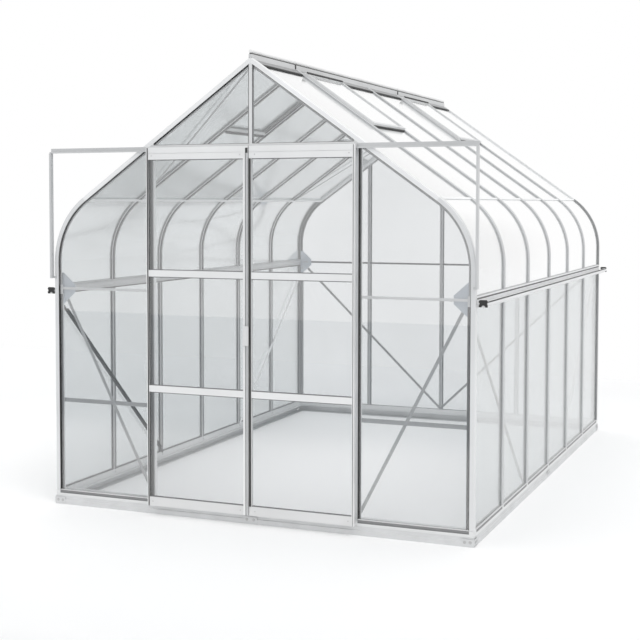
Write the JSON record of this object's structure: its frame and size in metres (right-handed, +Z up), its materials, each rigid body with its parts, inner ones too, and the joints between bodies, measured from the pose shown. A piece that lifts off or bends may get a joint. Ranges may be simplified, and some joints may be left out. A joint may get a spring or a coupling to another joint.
{
  "type": "greenhouse",
  "caption": "Glass greenhouse with aluminium glazing bars, curved eaves, a pitched roof with closed vents, gutters and a pair of sliding front doors hung on a track.",
  "frame": {"origin": "on the ground, at the middle of the part's bounding box", "axes": "+X to the right seen from the front, +Y to the rear, +Z up; the doors face -Y"},
  "size_m": [2.666, 3.874, 2.6312],
  "materials": {
    "aluminium": "natural, satin",
    "zinc_steel": "zinc coated",
    "glass": "clear",
    "black_plastic": "matte",
    "white_plastic": "satin"
  },
  "bodies": {
    "house": {"base_ends": "zinc_steel", "base_sides": "zinc_steel", "base_plates": "zinc_steel", "end_sills": "aluminium", "side_sills": "aluminium", "corner_posts": "aluminium", "side_wall_bars": "aluminium", "eave_beams": "aluminium", "gutters": "aluminium", "gutter_caps": "black_plastic", "end_arches": "aluminium", "eave_arches": "aluminium", "end_rafters": "aluminium", "rafters": "aluminium", "ridge_beam": "aluminium", "ridge_cap": "aluminium", "roof_cross_bars": "aluminium", "door_posts": "aluminium", "rear_wall_bars": "aluminium", "gable_bar": "aluminium", "front_header": "aluminium", "front_cross_bars": "aluminium", "gable_eave_bars": "aluminium", "gussets": "zinc_steel", "gable_braces": "zinc_steel", "side_braces": "zinc_steel", "roof_braces": "zinc_steel", "door_track": "aluminium", "track_struts": "aluminium", "wall_panes": "glass", "eave_panes": "glass", "roof_panes": "glass", "front_panes": "glass", "rear_panes": "glass", "vent_frames": "aluminium", "vent_panes": "glass"},
    "left_door": {"left_door_stiles": "aluminium", "left_door_rails": "aluminium", "left_door_panes": "glass", "left_door_runners": "black_plastic", "door_handle": "white_plastic"},
    "right_door": {"right_door_stiles": "aluminium", "right_door_rails": "aluminium", "right_door_panes": "glass", "right_door_runners": "black_plastic"}
  },
  "joints": [
    {"name": "left_door_slide", "type": "slide", "parent": "house", "child": "left_door", "axis": [-1, 0, 0], "range_m": [0, 0.6]},
    {"name": "right_door_slide", "type": "slide", "parent": "house", "child": "right_door", "axis": [1, 0, 0], "range_m": [0, 0.6]}
  ]
}
